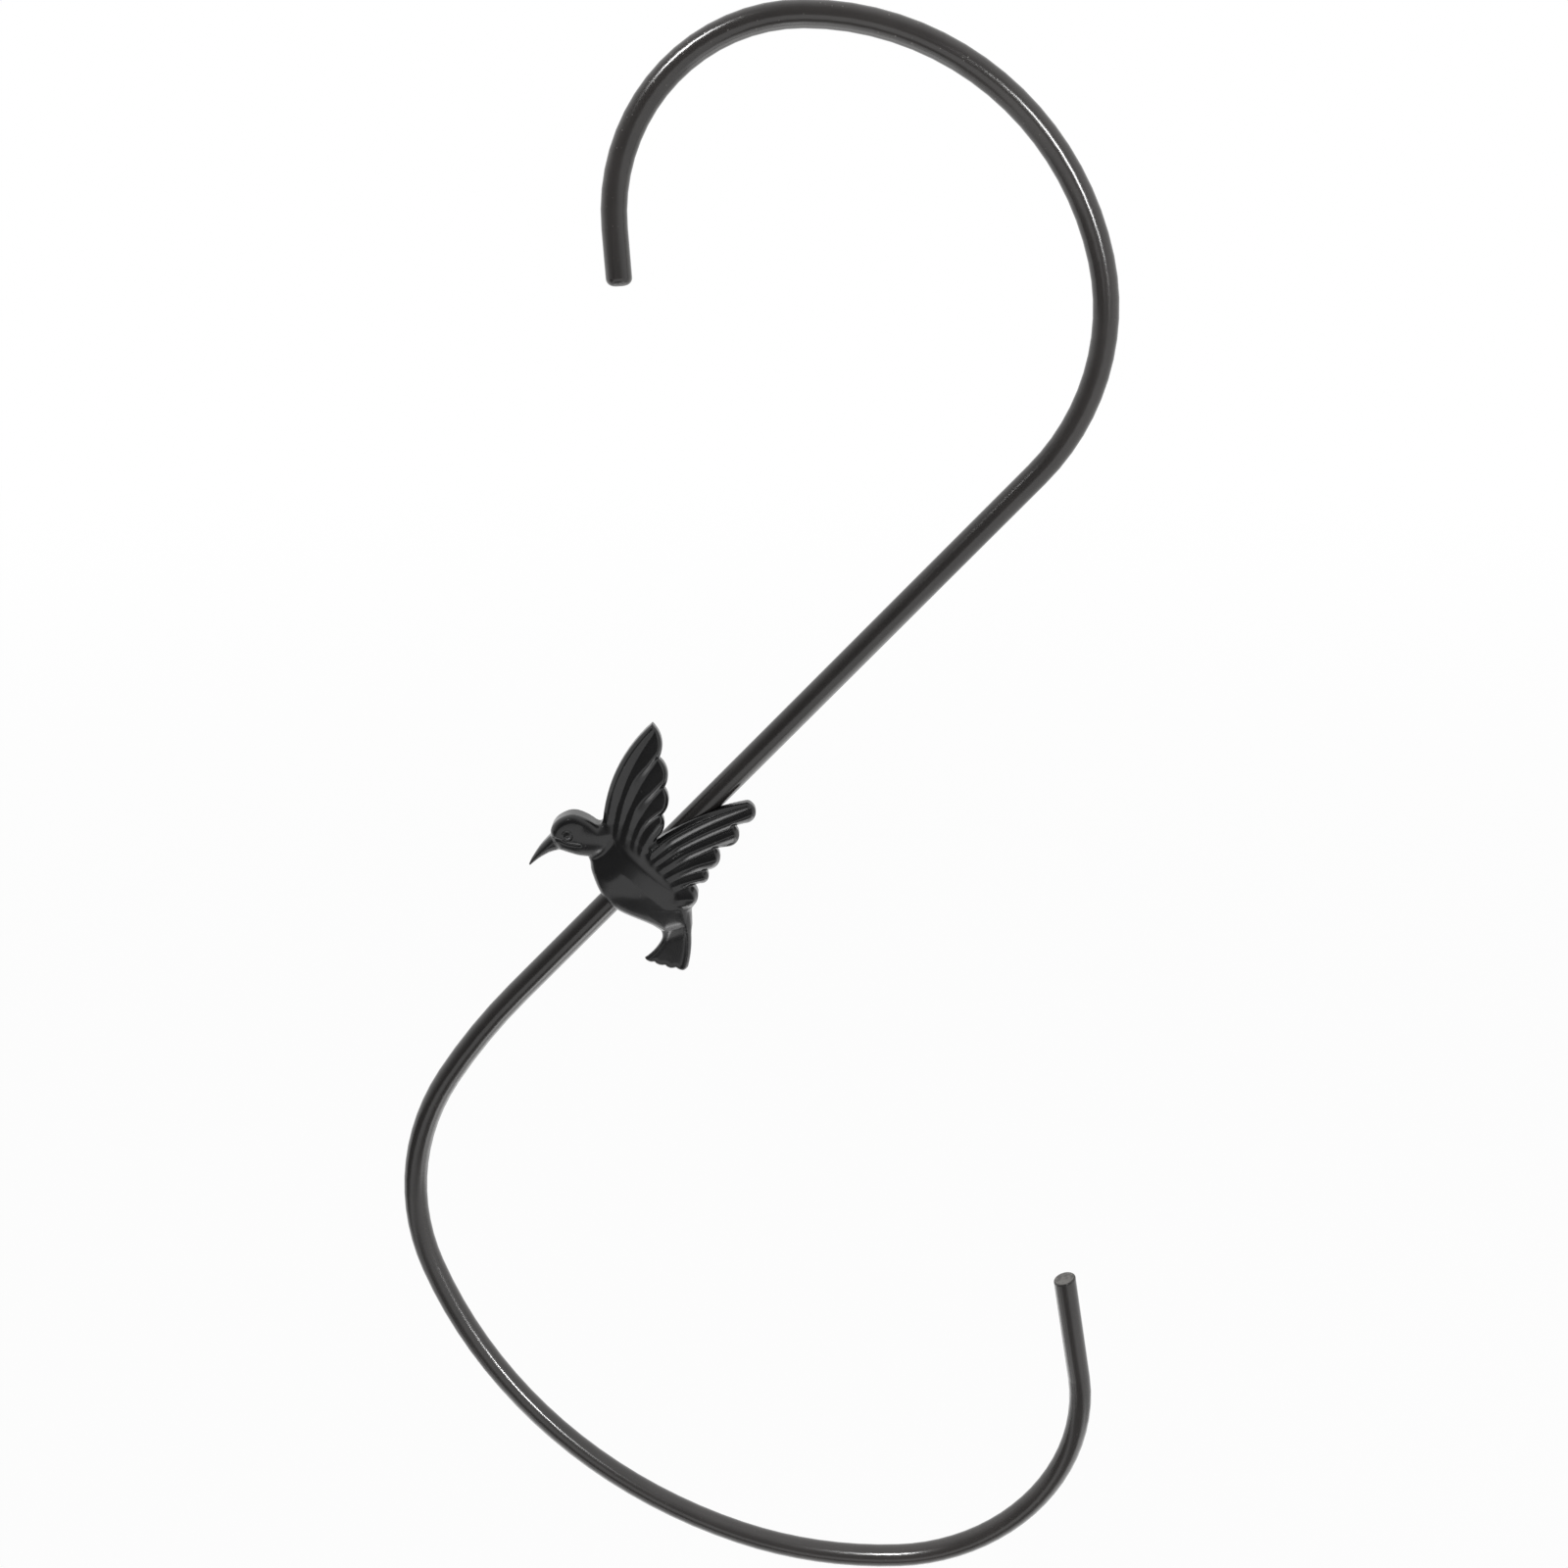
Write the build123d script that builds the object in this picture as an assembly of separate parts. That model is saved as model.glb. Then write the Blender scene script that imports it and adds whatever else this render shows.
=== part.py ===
from build123d import *
import os
from math import cos, radians, sin

# A hook bent from one round steel rod, with a cast hummingbird welded to the straight shank.
# X runs across the hook, Z is up, and the hook's front faces -Y.
# The rod's centreline lies in the plane Y = 0.
# The origin is the seat of the upper hook: the inner side of the rod at its crown.

# Rod
rod_dia = 4.4
upper_end_round = 1.3
lower_end_round = 0.3
lower_end_skew = 10.0

# Upper hook, from its free end to the shank: centreline radii, and turns in degrees
upper_tail = 9.2
crown_left_radius = 31.0
crown_left_turn = 93.5
crown_right_radius = 51.0
crown_right_turn = 75.0
shoulder_radius = 37.5
shoulder_turn = 58.75

shank_length = 134.5

# Lower hook, from the shank to its free end
knee_radius = 122.0
knee_turn = 10.5
elbow_radius = 48.0
elbow_turn = 51.5
sweep_radius = 105.0
sweep_turn = 49.5
belly_radius = 79.0
belly_turn = 24.5
toe_radius = 37.5
toe_turn = 97.5
lower_tail = 24.5

# Hummingbird: one casting with a flat back and a half-round channel that the rod lies in
bird_station = 95.0
channel_depth = 1.2
casting_thickness = 2.4
casting_span = 60.0
feather_crown = 0.9
tail_feather_crown = 0.5
feather_sink = 0.2
body_half_length = 16.0
body_half_width = 8.6
body_height = 5.6
head_radius = 5.6
head_height = 4.6
beak_root_radius = 1.9
beak_tip_radius = 0.45
eye_radius = 0.75
eye_depth = 0.3
tail_rib_radius = 0.6

# Weld: two rows of overlapping beads, one each side of the rod, behind the casting
bead_radius = 1.5
bead_pitch = 1.3
bead_count = 7
bead_first_station = -8.5
bead_stand_off = 0.55


def along(angle):
    """The unit vector at this angle in the plane of the hook: 0 is +X and 90 is +Z."""
    return Vector(cos(radians(angle)), 0, sin(radians(angle)))


def walk(start, angle, steps):
    """Edges of a path of straight lengths and (radius, turn) bends, and the place and angle at each joint."""
    edges = []
    joints = [(start, angle)]
    for step in steps:
        if isinstance(step, tuple):
            radius, turn = step
            side = 90 if turn > 0 else -90
            centre = start + along(angle + side) * radius
            points = [centre + along(angle - side + turn * part) * radius for part in (0, 0.5, 1)]
            edges.append(ThreePointArc(*points))
            angle += turn
        else:
            points = [start, start + along(angle) * step]
            edges.append(Line(*points))
        start = points[-1]
        joints.append((start, angle))
    return edges, joints


# Rod centreline
crown = Vector(0, 0, rod_dia / 2)
_, left_joints = walk(crown, 180, [(crown_left_radius, crown_left_turn), upper_tail])
upper_end, upper_end_angle = left_joints[-1]
rod_edges, rod_joints = walk(
    upper_end,
    upper_end_angle + 180,
    [
        upper_tail,
        (crown_left_radius, -crown_left_turn),
        (crown_right_radius, -crown_right_turn),
        (shoulder_radius, -shoulder_turn),
        shank_length,
        (knee_radius, knee_turn),
        (elbow_radius, elbow_turn),
        (sweep_radius, sweep_turn),
        (belly_radius, belly_turn),
        (toe_radius, toe_turn),
        lower_tail,
    ],
)
shank_start, shank_angle = rod_joints[4]
lower_end, lower_end_angle = rod_joints[-1]


def closed_edge(edge):
    """True for an edge that runs right round, such as the rim of an end."""
    return edge.is_closed


def make_rod():
    """The bent rod, with a rounded upper end and a lower end sheared a little out of square."""
    section = Plane(origin=upper_end, z_dir=along(upper_end_angle + 180)) * Circle(rod_dia / 2)
    rod = sweep(section, path=Wire(rod_edges))
    shear = Plane(
        origin=lower_end - along(lower_end_angle) * rod_dia / 4,
        z_dir=along(lower_end_angle + lower_end_skew),
    )
    rod -= shear * Cylinder(rod_dia, rod_dia, align=(Align.CENTER, Align.CENTER, Align.MIN))
    upper_rim = rod.edges().filter_by(closed_edge).sort_by_distance(upper_end)[0]
    rod = fillet(upper_rim, upper_end_round)
    lower_rim = rod.edges().filter_by(closed_edge).sort_by_distance(lower_end)[0]
    return fillet(lower_rim, lower_end_round)


# Hummingbird. Its points are (across, up) in millimetres from the middle of the rod under it.
bird_at = shank_start + along(shank_angle) * bird_station
back = channel_depth - rod_dia / 2
front = back - casting_thickness


def place(point, y=0.0):
    """A point of the hummingbird's drawing as a point of the hook."""
    return bird_at + Vector(point[0], y, point[1])


def drawn_arc(first, middle, last, y=0.0):
    """The arc through three points of the drawing."""
    return ThreePointArc(place(first, y), place(middle, y), place(last, y))


def drawn_curve(points):
    """A smooth curve through points of the drawing."""
    return Spline(*[place(point) for point in points])


def slab(edges, thickness):
    """The closed outline as a slab that stands forward from the casting's back."""
    face = make_face(Wire(edges))
    return extrude(Pos(0, back, 0) * face, amount=thickness, dir=(0, -1, 0))


def dome(radius, height):
    """How far behind the casting's back the centre of a ball lies, to stand this high in front."""
    return back + radius - height


def feather(points, half_width, crown_height):
    """A half-round rib along an arc, with a round tip, that stands proud of the casting's front."""
    radius = (half_width**2 + crown_height**2) / (2 * crown_height)
    depth = front + radius - crown_height
    path = drawn_arc(*points, y=depth)
    section = Plane(origin=path @ 0, z_dir=path % 0) * Circle(radius)
    rib = sweep(section, path=path) + Pos(*(path @ 1)) * Sphere(radius)
    proud = Pos(*place((0, 0), front + feather_sink)) * Box(
        casting_span, casting_span, casting_span, align=(Align.CENTER, Align.MAX, Align.CENTER)
    )
    return rib & proud


def make_fan(outline, feathers, crown_height):
    """A flat slab with a row of feathers on its front."""
    fan = slab(outline, casting_thickness)
    for points, half_width in feathers:
        fan += feather(points, half_width, crown_height)
    return fan


def make_left_wing():
    """The raised wing: a curved leading edge, a pointed tip and four lobes."""
    shoulder = (-10.2, 5.4)
    tip = (-0.9, 24.8)
    notches = [(0.2, 18.35), (1.0, 12.8), (0.45, 7.6), (-0.4, 3.4)]
    bulges = [(0.75, 21.6), (1.7, 15.5), (1.75, 10.2), (0.85, 5.4)]
    lobes = [drawn_arc(a, b, c) for a, b, c in zip([tip] + notches, bulges, notches)]
    root = [Line(place(notches[-1]), place((-5.0, -2.0))), Line(place((-5.0, -2.0)), place(shoulder))]
    outline = [drawn_arc(shoulder, (-7.6, 15.9), tip)] + lobes + root
    feathers = [
        (((-8.9, 3.0), (-7.4, 13.0), (-3.0, 21.4)), 1.2),
        (((-6.9, 2.6), (-4.7, 12.4), (-1.2, 21.2)), 1.7),
        (((-5.6, 1.6), (-3.0, 9.8), (0.0, 15.6)), 1.6),
        (((-4.6, 0.6), (-2.1, 6.9), (0.1, 10.3)), 1.5),
        (((-3.7, -0.3), (-1.8, 3.4), (-0.7, 5.6)), 1.3),
    ]
    return make_fan(outline, feathers, feather_crown)


def make_right_wing():
    """The spread wing: a long top feather and four shorter ones fanned below it."""
    shoulder = (-2.0, 1.6)
    wing_end = (4.2, -9.95)
    top_edge = drawn_arc(shoulder, (8.6, 8.0), (15.9, 10.1))
    lobes = [
        drawn_arc((15.9, 10.1), (17.4, 8.2), (15.4, 6.1)),
        Line(place((15.4, 6.1)), place((13.5, 5.6))),
        drawn_arc((13.5, 5.6), (14.3, 3.2), (12.4, 1.6)),
        Line(place((12.4, 1.6)), place((10.1, 1.3))),
        drawn_arc((10.1, 1.3), (10.8, -1.2), (9.1, -2.8)),
        Line(place((9.1, -2.8)), place((8.2, -3.1))),
        drawn_arc((8.2, -3.1), (8.7, -4.6), (7.2, -5.4)),
        Line(place((7.2, -5.4)), place((5.7, -5.8))),
        drawn_arc((5.7, -5.8), (6.8, -8.0), wing_end),
    ]
    root = [Line(place(wing_end), place((-3.0, -8.0))), Line(place((-3.0, -8.0)), place(shoulder))]
    feathers = [
        (((-3.5, -0.2), (6.0, 5.2), (15.0, 8.2)), 1.9),
        (((-4.0, -2.4), (4.8, 1.2), (12.1, 3.6)), 1.8),
        (((-3.0, -4.4), (3.0, -2.2), (8.7, -0.8)), 1.8),
        (((-2.0, -6.6), (2.8, -5.1), (7.2, -4.2)), 1.1),
        (((-1.5, -9.0), (1.8, -8.0), (4.7, -7.6)), 1.6),
    ]
    return make_fan([top_edge] + lobes + root, feathers, feather_crown)


def make_tail():
    """The fanned tail: a plate that widens to its end, with a rib along its outer edge."""
    hip = (4.2, -9.4)
    outer_corner = (4.6, -22.5)
    inner_corner = (-3.4, -20.9)
    vent = (0.7, -14.7)
    edge = drawn_arc(hip, (5.35, -16.2), outer_corner)
    outline = [
        edge,
        drawn_arc(outer_corner, (1.0, -22.9), inner_corner),
        drawn_arc(inner_corner, (-0.7, -18.1), vent),
        Line(place(vent), place((-4.0, -9.0))),
        Line(place((-4.0, -9.0)), place(hip)),
    ]
    feathers = [
        (((1.9, -11.5), (0.9, -16.4), (-1.5, -20.0)), 1.2),
        (((2.4, -11.5), (2.3, -16.8), (0.8, -21.3)), 1.2),
        (((3.0, -11.5), (3.6, -17.0), (2.9, -21.5)), 1.1),
    ]
    rib_path = drawn_arc(hip, (5.35, -16.2), outer_corner, y=front)
    rib = sweep(Plane(origin=rib_path @ 0, z_dir=rib_path % 0) * Circle(tail_rib_radius), path=rib_path)
    tail = make_fan(outline, feathers, tail_feather_crown)
    return tail + (rib & slab(outline, casting_thickness + tail_rib_radius))


def make_body():
    """The head and body: two domes cut to the outline of the bird's side."""
    nape = (-10.6, 5.8)
    vent = (0.7, -14.7)
    outline = [
        drawn_curve([nape, (-13.0, 7.5), (-15.6, 8.3), (-18.2, 7.2), (-19.5, 5.2), (-19.2, 3.4)]),
        drawn_curve([(-19.2, 3.4), (-17.9, 1.4), (-16.2, 0.8), (-14.4, 0.2), (-13.0, 0.0)]),
        drawn_curve([(-13.0, 0.0), (-12.4, -3.2), (-10.7, -7.3), (-7.8, -10.35), (-1.3, -13.65), vent]),
        Line(place(vent), place((4.4, -11.0))),
        drawn_arc((4.4, -11.0), (1.2, 0.2), nape),
    ]
    limit = slab(outline, body_height + head_height)
    body_middle = place((-4.6, -4.3), dome(body_half_width, body_height))
    body_axis = Plane(origin=body_middle, x_dir=along(shank_angle + 90), z_dir=(0, -1, 0))
    half_oval = make_face(Wire([
        EllipticalCenterArc((0, 0), body_half_length, body_half_width, 0, arc_size=180),
        Line((-body_half_length, 0), (body_half_length, 0)),
    ]))
    body = revolve(body_axis * half_oval, axis=Axis(body_middle, along(shank_angle + 90)))
    head = Pos(*place((-15.0, 4.4), dome(head_radius, head_height))) * Sphere(head_radius)
    bird = slab(outline, casting_thickness) + (body & limit) + (head & limit)
    eye = Pos(*place((-16.4, 4.35), back - head_height)) * Sphere(eye_radius)
    return bird - Pos(0, eye_depth, 0) * eye


def make_beak():
    """The tapered beak, rounded at its tip."""
    root = place((-17.0, 4.0), back - beak_root_radius)
    tip = place((-23.6, -1.9), back - beak_root_radius)
    length = (tip - root).length
    cone = Plane(origin=root, z_dir=tip - root) * Cone(
        beak_root_radius, beak_tip_radius, length, align=(Align.CENTER, Align.CENTER, Align.MIN)
    )
    return cone + Pos(*tip) * Sphere(beak_tip_radius)


def make_bird():
    """The whole casting, with its back cut for the rod."""
    bird = make_body() + make_beak() + make_tail() + make_left_wing() + make_right_wing()
    channel = Plane(origin=bird_at, z_dir=along(shank_angle)) * Cylinder(rod_dia / 2, shank_length)
    return bird - channel


def make_weld(bird):
    """Both rows of beads, cut to the rod's side and the casting's back."""
    rod_under_bird = Plane(origin=bird_at, z_dir=along(shank_angle)) * Cylinder(rod_dia / 2, shank_length)
    rows = []
    for side in (-90, 90):
        offset = along(shank_angle + side) * (rod_dia / 2 + bead_stand_off)
        row = Part()
        for index in range(bead_count):
            station = along(shank_angle) * -(bead_first_station + index * bead_pitch)
            row += Pos(*(bird_at + offset + station + Vector(0, back, 0))) * Sphere(bead_radius)
        rows.append(row - rod_under_bird - bird)
    return Compound(children=[solid for row in rows for solid in row.solids()])


rod = make_rod()
bird = make_bird()
weld = make_weld(bird)

os.makedirs("parts", exist_ok=True)
for name, shape in (("hook_rod", rod), ("hummingbird", bird), ("weld_beads", weld)):
    shape.label = name
    export_step(shape, f"parts/{name}.step")
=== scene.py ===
import math

import bpy
import numpy as np
from bpy.props import FloatProperty, FloatVectorProperty, PointerProperty
from mathutils import Matrix, Vector


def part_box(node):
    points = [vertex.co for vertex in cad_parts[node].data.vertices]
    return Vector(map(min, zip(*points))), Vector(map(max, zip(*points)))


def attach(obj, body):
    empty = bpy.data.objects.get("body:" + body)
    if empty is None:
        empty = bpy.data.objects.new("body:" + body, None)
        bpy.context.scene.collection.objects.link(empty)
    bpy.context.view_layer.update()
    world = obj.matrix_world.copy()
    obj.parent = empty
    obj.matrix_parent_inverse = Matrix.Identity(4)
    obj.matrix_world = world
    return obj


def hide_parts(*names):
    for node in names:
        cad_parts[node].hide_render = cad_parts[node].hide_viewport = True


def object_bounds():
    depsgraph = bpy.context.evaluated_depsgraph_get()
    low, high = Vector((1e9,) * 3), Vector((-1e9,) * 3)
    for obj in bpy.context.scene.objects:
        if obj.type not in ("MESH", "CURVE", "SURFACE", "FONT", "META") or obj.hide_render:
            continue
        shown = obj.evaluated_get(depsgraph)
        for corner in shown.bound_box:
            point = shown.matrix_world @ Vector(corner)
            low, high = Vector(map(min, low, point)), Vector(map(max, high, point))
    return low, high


bl_info = {
    "name": "Hummingbird plant hook",
    "version": (1, 0, 0),
    "blender": (4, 5, 0),
    "location": "3D View > Sidebar > Plant hook",
    "description": "A black steel S-hook with a cast hummingbird on its shank",
    "category": "Object",
}

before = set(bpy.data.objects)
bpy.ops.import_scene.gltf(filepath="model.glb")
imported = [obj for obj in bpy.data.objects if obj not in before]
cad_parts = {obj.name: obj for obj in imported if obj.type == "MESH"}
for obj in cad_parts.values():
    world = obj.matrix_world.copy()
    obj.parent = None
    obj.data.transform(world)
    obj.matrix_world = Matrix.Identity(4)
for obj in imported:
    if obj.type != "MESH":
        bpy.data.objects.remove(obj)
CAD_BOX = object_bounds()

# Millimetres in a metre: the drawing of the hummingbird is in millimetres
MM = 1000.0

# Places that the model gives: the box of its casting says where the drawing of the hummingbird lies
ROD_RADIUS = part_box("hook_rod")[1].y * MM
BIRD_LOW, BIRD_HIGH = (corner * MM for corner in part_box("hummingbird"))
CASTING_BACK = BIRD_HIGH.y
BEAK_TIP_ACROSS = -24.05
WING_TIP_UP = 24.8
DRAWING_ORIGIN = (BIRD_LOW.x - BEAK_TIP_ACROSS, BIRD_HIGH.z - WING_TIP_UP)

# Directions in which the rod runs, from its upper end to its lower end: along the shank, and at the cut end
SHANK_ANGLE = math.radians(-133.75)
CUT_ANGLE = math.radians(109.75)


# Settings that a user would change

class PlantHookSizes(bpy.types.PropertyGroup):
    """Sizes of the casting, in millimetres"""

    mesh_pitch: FloatProperty(
        name="Mesh pitch", description="Distance between neighbouring points of the mesh", default=0.2)
    plate: FloatProperty(
        name="Plate", description="Thickness of the wings and tail between their feathers", default=2.2)
    left_ridge: FloatProperty(
        name="Left feathers", description="Height of a left feather as a share of its width", default=0.2)
    right_ridge: FloatProperty(
        name="Right feathers", description="Height of a right feather as a share of its width", default=0.24)
    edge_round: FloatProperty(
        name="Edge radius", description="Radius of the front edges of the wings and tail", default=0.7)
    body_round: FloatProperty(
        name="Body edge radius", description="Radius of the front edges of the head and body", default=1.2)
    fillet: FloatProperty(
        name="Fillet", description="Size of the fillets between the wings and at the beak", default=0.5)
    root_fillet: FloatProperty(
        name="Root fillet", description="Size of the fillets where the wings grow from the body", default=1.6)


class PlantHookFinish(bpy.types.PropertyGroup):
    """Colours and gloss of the black coats"""

    rod_colour: FloatVectorProperty(
        name="Rod", description="Colour of the rod's coat", subtype="COLOR",
        default=(0.0275, 0.0252, 0.0242))
    casting_colour: FloatVectorProperty(
        name="Casting", description="Colour of the casting's coat", subtype="COLOR",
        default=(0.009, 0.009, 0.0095))
    # Colour of the dust and nibs; on the casting it also paints a highlight along the sharp edges
    dust_and_sheen_colour: FloatVectorProperty(
        name="Dust", description="Colour of the nibs and dust in the coat", subtype="COLOR",
        default=(0.15, 0.142, 0.132))
    rod_roughness: FloatProperty(
        name="Rod roughness", description="Roughness of the rod's coat", default=0.18, subtype="FACTOR")
    casting_roughness: FloatProperty(
        name="Casting roughness", description="Roughness of the casting's coat",
        default=0.2, subtype="FACTOR")


class PlantHookStage(bpy.types.PropertyGroup):
    """Floor, lamps and camera"""

    floor_drop: FloatProperty(
        name="Floor drop", description="Height of the hook's lowest point above the floor",
        default=0.35, unit="LENGTH")
    floor_size: FloatProperty(
        name="Floor size", description="Side of the square floor", default=8.0, unit="LENGTH")
    floor_colour: FloatVectorProperty(
        name="Floor", description="Colour of the floor", subtype="COLOR", default=(0.85, 0.85, 0.85))
    camera_place: FloatVectorProperty(
        name="Camera", description="Place of the camera", subtype="XYZ", unit="LENGTH",
        default=(-0.003118, -0.334159, -0.012144))
    camera_pitch: FloatProperty(
        name="Camera pitch", description="Angle by which the camera looks down", subtype="ANGLE",
        default=math.radians(19))
    lens: FloatProperty(
        name="Lens", description="Focal length in millimetres on a 36 mm sensor", default=45.0)


# Node materials

class Wire:
    """A socket of a material: arithmetic on it adds Math nodes."""

    def __init__(self, finish, socket):
        self.finish = finish
        self.socket = socket

    def maths(self, operation, *values):
        """One Math node on these values or wires."""
        return self.finish.node("ShaderNodeMath", {"operation": operation}, dict(enumerate(values)))

    def __add__(self, other):
        return self.maths("ADD", self, other)

    def __radd__(self, other):
        return self.maths("ADD", other, self)

    def __sub__(self, other):
        return self.maths("SUBTRACT", self, other)

    def __rsub__(self, other):
        return self.maths("SUBTRACT", other, self)

    def __mul__(self, other):
        return self.maths("MULTIPLY", self, other)

    def __rmul__(self, other):
        return self.maths("MULTIPLY", other, self)

    def __truediv__(self, other):
        return self.maths("DIVIDE", self, other)

    def sine(self):
        """The sine of an angle in radians."""
        return self.maths("SINE", self)

    def between(self, low, high):
        """A smooth step: 0 at low and 1 at high."""
        settings = {"interpolation_type": "SMOOTHSTEP"}
        sockets = {"Value": self, "From Min": low, "From Max": high}
        return self.finish.node("ShaderNodeMapRange", settings, sockets)


class Finish:
    """A node tree under construction: of a material, or of the world."""

    def __init__(self, owner):
        owner.use_nodes = True
        self.owner = owner
        self.tree = owner.node_tree
        self.tree.nodes.clear()

    def node(self, kind, settings=None, sockets=None, output=0):
        """Adds a node, makes its settings, fills its sockets with values or wires, and returns one output."""
        node = self.tree.nodes.new(kind)
        for name, value in (settings or {}).items():
            setattr(node, name, value)
        for name, value in (sockets or {}).items():
            socket = node.inputs[name]
            if isinstance(value, Wire):
                self.tree.links.new(value.socket, socket)
            else:
                socket.default_value = value
        return Wire(self, node.outputs[output]) if node.outputs else None

    def place_mm(self):
        """The point on the piece in millimetres, in the model's own frame."""
        place = self.node("ShaderNodeTexCoord", output="Object")
        return self.node("ShaderNodeVectorMath", {"operation": "SCALE"}, {"Vector": place, "Scale": MM})

    def axis(self, vector, name):
        """One coordinate of a vector."""
        return self.node("ShaderNodeSeparateXYZ", None, {"Vector": vector}, name)

    def dot(self, vector, direction):
        """How far the vector goes in a fixed direction."""
        sockets = {0: vector, 1: direction}
        return self.node("ShaderNodeVectorMath", {"operation": "DOT_PRODUCT"}, sockets, "Value")

    def noise(self, place, per_mm, detail=2.0):
        """Cloudy noise between 0 and 1."""
        return self.node("ShaderNodeTexNoise", None, {"Vector": place, "Scale": per_mm, "Detail": detail})

    def mix_colour(self, share, first, second):
        """A colour between two."""
        return self.node("ShaderNodeMix", {"data_type": "RGBA"}, {0: share, 6: first, 7: second}, 2)

    def bump(self, height_mm):
        """A normal from a height in millimetres."""
        return self.node("ShaderNodeBump", None, {"Height": height_mm, "Distance": 1 / MM, "Strength": 1.0})

    def nibs(self, place, per_mm, share, radius):
        """Round specks with a soft edge, in this share of the cells of a random grid."""
        near = self.node("ShaderNodeTexVoronoi", None, {"Vector": place, "Scale": per_mm}, "Distance")
        cell = self.node("ShaderNodeTexVoronoi", None, {"Vector": place, "Scale": per_mm}, "Color")
        pick = self.axis(cell, "X")
        return (1 - near.between(radius * 0.4, radius)) * pick.between(1 - share, 1 - share * 0.6)

    def coat(self, colour, roughness, normal, coat_weight, coat_roughness):
        """The shader of a painted surface, joined to the material's output."""
        sockets = {
            "Base Color": colour,
            "Roughness": roughness,
            "Normal": normal,
            "Coat Weight": coat_weight,
            "Coat Roughness": coat_roughness,
        }
        shader = self.node("ShaderNodeBsdfPrincipled", None, sockets)
        self.node("ShaderNodeOutputMaterial", None, {"Surface": shader})
        return self.owner


def new_material(name):
    """An empty node material."""
    return Finish(bpy.data.materials.new(name))


def opaque(colour, lighter=1.0):
    """A colour times a factor, with full opacity, as a colour socket takes it."""
    return (*(value * lighter for value in colour), 1.0)


def coat_piece(piece, material):
    """Gives every surface of a piece this material."""
    if not piece.material_slots:
        piece.data.materials.append(material)
    for slot in piece.material_slots:
        slot.material = material


# Lines and distances in the drawing: points are (across, up) in millimetres

CURVE_STEPS = 6


def arc(first, middle, last, steps=14):
    """Points along the circle through three points, from the first to the last."""
    a, b, c = (complex(*point) for point in (first, middle, last))
    turn = (c - a) / (b - a)
    centre = (b - a) * (turn - abs(turn) ** 2) / (2j * turn.imag) + a
    start = np.angle(a - centre)
    swing = np.angle((b - centre) / (a - centre)) + np.angle((c - centre) / (b - centre))
    angles = start + swing * np.linspace(0, 1, steps + 1)
    return np.stack([centre.real + abs(a - centre) * np.cos(angles),
                     centre.imag + abs(a - centre) * np.sin(angles)], axis=1)


def curve(*points):
    """Points along a smooth curve through the given ones."""
    points = np.array(points, float)
    ends = np.concatenate([[2 * points[0] - points[1]], points, [2 * points[-1] - points[-2]]])
    share = np.linspace(0, 1, CURVE_STEPS, endpoint=False)[:, None]
    runs = []
    for a, b, c, d in zip(ends, ends[1:], ends[2:], ends[3:]):
        runs.append(b + share * (c - a) / 2 + share**2 * (a - 2.5 * b + 2 * c - d / 2)
                    + share**3 * (1.5 * b - a / 2 - 1.5 * c + d / 2))
    return np.concatenate(runs + [points[-1:]])


def closed(*runs):
    """One closed outline from runs of points; a run may be a single point."""
    return np.concatenate([np.atleast_2d(run) for run in runs])


def segment_gaps(across, up, line):
    """For each straight piece of a line: the squared distance to it, and the side on which a point lies."""
    for (x0, y0), (x1, y1) in zip(line[:-1], line[1:]):
        dx, dy = x1 - x0, y1 - y0
        length = dx * dx + dy * dy
        if length > 0:
            px, py = across - x0, up - y0
            share = np.clip((px * dx + py * dy) / length, 0, 1)
            yield (px - share * dx) ** 2 + (py - share * dy) ** 2, py * dx - px * dy


def outline_distance(across, up, outline):
    """Distance to a closed outline, negative inside it."""
    looped = np.concatenate([outline, outline[:1]])
    nearest = np.full(np.broadcast(across, up).shape, np.inf)
    for gap, _ in segment_gaps(across, up, looped):
        nearest = np.minimum(nearest, gap)
    inside = np.zeros(nearest.shape, bool)
    for (x0, y0), (x1, y1) in zip(looped[:-1], looped[1:]):
        if y0 != y1:
            crossing = x0 + (up - y0) * (x1 - x0) / (y1 - y0)
            inside ^= ((y0 <= up) != (y1 <= up)) & (across < crossing)
    return np.where(inside, -1, 1) * np.sqrt(nearest)


def line_distance(across, up, line):
    """Distance to an open line, positive on the right-hand side of its direction."""
    nearest = np.full(np.broadcast(across, up).shape, np.inf)
    side = np.zeros(nearest.shape)
    for gap, left in segment_gaps(across, up, line):
        closer = gap < nearest
        nearest = np.where(closer, gap, nearest)
        side = np.where(closer, left, side)
    return np.where(side > 0, -1, 1) * np.sqrt(nearest)


def lengthened(line, extra):
    """The line, carried on straight past both ends."""
    first = line[0] - line[1]
    last = line[-1] - line[-2]
    return np.concatenate([[line[0] + first * extra / np.linalg.norm(first)], line,
                           [line[-1] + last * extra / np.linalg.norm(last)]])


# Blends of fields: a field is a distance in millimetres, negative inside the metal

def round_cut(first, second, radius):
    """The common part of two fields, with its edge rounded to a radius."""
    first, second = first + radius, second + radius
    corner = np.hypot(np.maximum(first, 0), np.maximum(second, 0))
    return np.minimum(np.maximum(first, second), 0) + corner - radius


def fuse(first, second, fillet):
    """Both fields together, with a fillet where they meet."""
    share = np.clip(0.5 + 0.5 * (second - first) / fillet, 0, 1)
    return second + (first - second) * share - fillet * share * (1 - share)


def smooth_step(value, low, high):
    """0 below low, 1 above high, and smooth between them."""
    share = np.clip((value - low) / (high - low), 0, 1)
    return share * share * (3 - 2 * share)


def cap(across, up, centre, radius, height):
    """Height of a ball's cap that stands this high on the casting's back."""
    flat = (across - centre[0]) ** 2 + (up - centre[1]) ** 2
    return height - radius + np.sqrt(np.maximum(radius**2 - flat, 0))


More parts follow.
